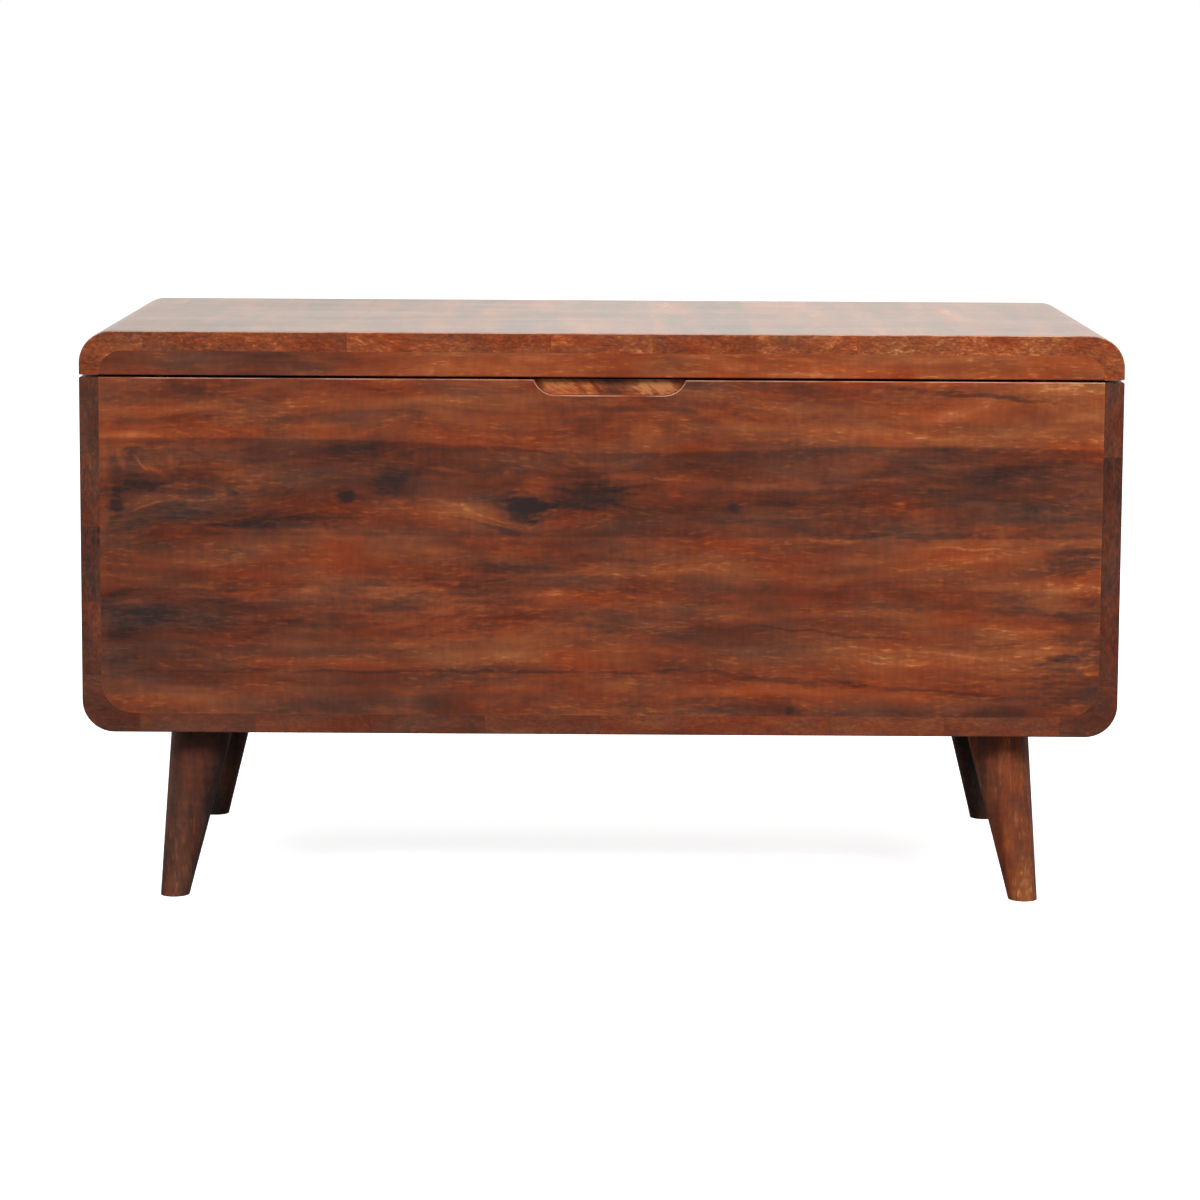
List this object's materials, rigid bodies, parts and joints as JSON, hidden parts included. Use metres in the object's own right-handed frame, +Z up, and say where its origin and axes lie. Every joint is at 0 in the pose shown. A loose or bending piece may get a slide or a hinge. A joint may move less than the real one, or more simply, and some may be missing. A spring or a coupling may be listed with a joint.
{
  "type": "blanket chest",
  "caption": "Low blanket chest with a rounded solid wood case on splayed tapered legs, and a hinged lid held by a slotted stay.",
  "frame": {"origin": "on the floor, under the middle of the chest", "axes": "+X to the right across the front, +Y from the front to the back, +Z up"},
  "size_m": [0.9, 0.4056, 0.5],
  "materials": {
    "panel_wood": "chestnut stain under satin lacquer, grain from left to right",
    "case_wood": "chestnut stain under satin lacquer, grain from front to back",
    "lid_wood": "chestnut stain under satin lacquer, grain from front to back",
    "leg_wood": "chestnut stain under satin lacquer, turned",
    "brass": "satin brass hinges and screws",
    "steel": "zinc-plated steel",
    "bumper_rubber": "matt black"
  },
  "bodies": {
    "case": {"case_corner_left": "case_wood", "case_corner_right": "case_wood", "left_side_board_1": "case_wood", "left_side_board_2": "case_wood", "left_side_board_3": "case_wood", "left_side_board_4": "case_wood", "right_side_board_1": "case_wood", "right_side_board_2": "case_wood", "right_side_board_3": "case_wood", "right_side_board_4": "case_wood", "bottom_board_1": "case_wood", "bottom_board_2": "case_wood", "bottom_board_3": "case_wood", "bottom_board_4": "case_wood", "bottom_board_5": "case_wood", "bottom_board_6": "case_wood", "bottom_board_7": "case_wood", "bottom_board_8": "case_wood", "front_plank_upper": "panel_wood", "front_plank_middle": "panel_wood", "front_plank_lower": "panel_wood", "back_plank_upper": "panel_wood", "back_plank_middle": "panel_wood", "back_plank_lower": "panel_wood", "leg_front_left": "leg_wood", "leg_front_right": "leg_wood", "leg_back_left": "leg_wood", "leg_back_right": "leg_wood", "leg_bolts": "steel", "leg_nuts": "steel", "hinge_case_leaf_left": "brass", "hinge_case_leaf_right": "brass", "hinge_pin_left": "brass", "hinge_pin_right": "brass", "hinge_case_screws": "brass", "stay_side_plate": "steel", "stay_cap_nut": "steel", "stay_side_screws": "steel", "lid_bumpers": "bumper_rubber"},
    "lid": {"lid_corner_left": "lid_wood", "lid_corner_right": "lid_wood", "lid_board_1": "lid_wood", "lid_board_2": "lid_wood", "lid_board_3": "lid_wood", "lid_board_4": "lid_wood", "lid_board_5": "lid_wood", "lid_board_6": "lid_wood", "lid_board_7": "lid_wood", "lid_board_8": "lid_wood", "lid_board_9": "lid_wood", "lid_front_rail": "lid_wood", "lid_back_rail": "lid_wood", "hinge_lid_leaf_left": "brass", "hinge_lid_leaf_right": "brass", "hinge_lid_screws": "brass", "stay_lid_bracket": "steel", "stay_rivet": "steel", "stay_lid_screws": "steel"},
    "stay_arm": {"stay_arm": "steel"}
  },
  "joints": [
    {"name": "lid_hinge", "type": "hinge", "parent": "case", "child": "lid", "pos_m": [0, 0.203, 0.461], "axis": [-1, 0, 0], "range_deg": [0, 95]},
    {"name": "stay_pivot", "type": "hinge", "parent": "lid", "child": "stay_arm", "pos_m": [0.41025, 0.06327, 0.472], "axis": [-1, 0, 0], "range_deg": [-47.5, 0]}
  ],
  "couplings": [
    {"joint": "stay_pivot", "follows": "lid_hinge", "ratio": -0.5}
  ]
}
